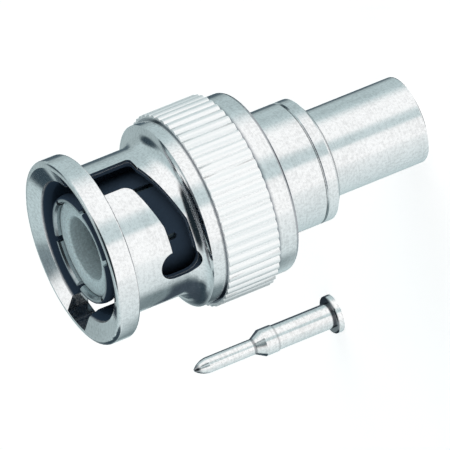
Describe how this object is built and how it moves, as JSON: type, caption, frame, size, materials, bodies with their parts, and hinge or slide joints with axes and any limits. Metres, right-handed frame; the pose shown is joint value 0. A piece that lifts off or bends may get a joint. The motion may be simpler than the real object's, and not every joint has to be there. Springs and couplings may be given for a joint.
{
  "type": "bnc connector",
  "caption": "Straight BNC plug with a knurled bayonet nut, crimp ferrule and a loose centre pin.",
  "frame": {"origin": "centre of the ferrule's open end, where the cable goes in; the plug stands on it", "axes": "+Z along the plug's axis, from the cable end to the mouth"},
  "size_m": [0.0197, 0.0367, 0.0271],
  "materials": {
    "nickel_nut": "bright nickel plate on turned brass",
    "nickel_body": "bright nickel plate on turned brass",
    "nickel_ferrule": "nickel plate on annealed copper tube",
    "contact_plate": "plated spring bronze",
    "spring_metal": "hard rolled strip",
    "insulator_plastic": "turned fluoropolymer, waxy",
    "gasket_rubber": "soft silicone",
    "pin_plate": "bright plated turned pin"
  },
  "bodies": {
    "plug_core": {"connector_body": "nickel_body", "outer_contact": "contact_plate", "insulator": "insulator_plastic", "gasket": "gasket_rubber", "crimp_stem": "nickel_body", "crimp_ferrule": "nickel_ferrule", "contact_pin": "pin_plate", "wave_washer_1": "spring_metal", "wave_washer_2": "spring_metal"},
    "spring_follower": {"thrust_washer": "spring_metal"},
    "bayonet_nut": {"coupling_nut": "nickel_nut", "closing_ring": "nickel_nut"}
  },
  "joints": [
    {"name": "coupling_slide", "type": "slide", "parent": "plug_core", "child": "spring_follower", "axis": [0, 0, 1], "range_m": [0, 0.0005], "stiffness_N_per_m": 600, "springref_m": -0.0005, "deforming": ["wave_washer_1", "wave_washer_2"]},
    {"name": "coupling_turn", "type": "hinge", "parent": "spring_follower", "child": "bayonet_nut", "pos_m": [0, 0, 0.014], "axis": [0, 0, 1], "continuous": true}
  ]
}
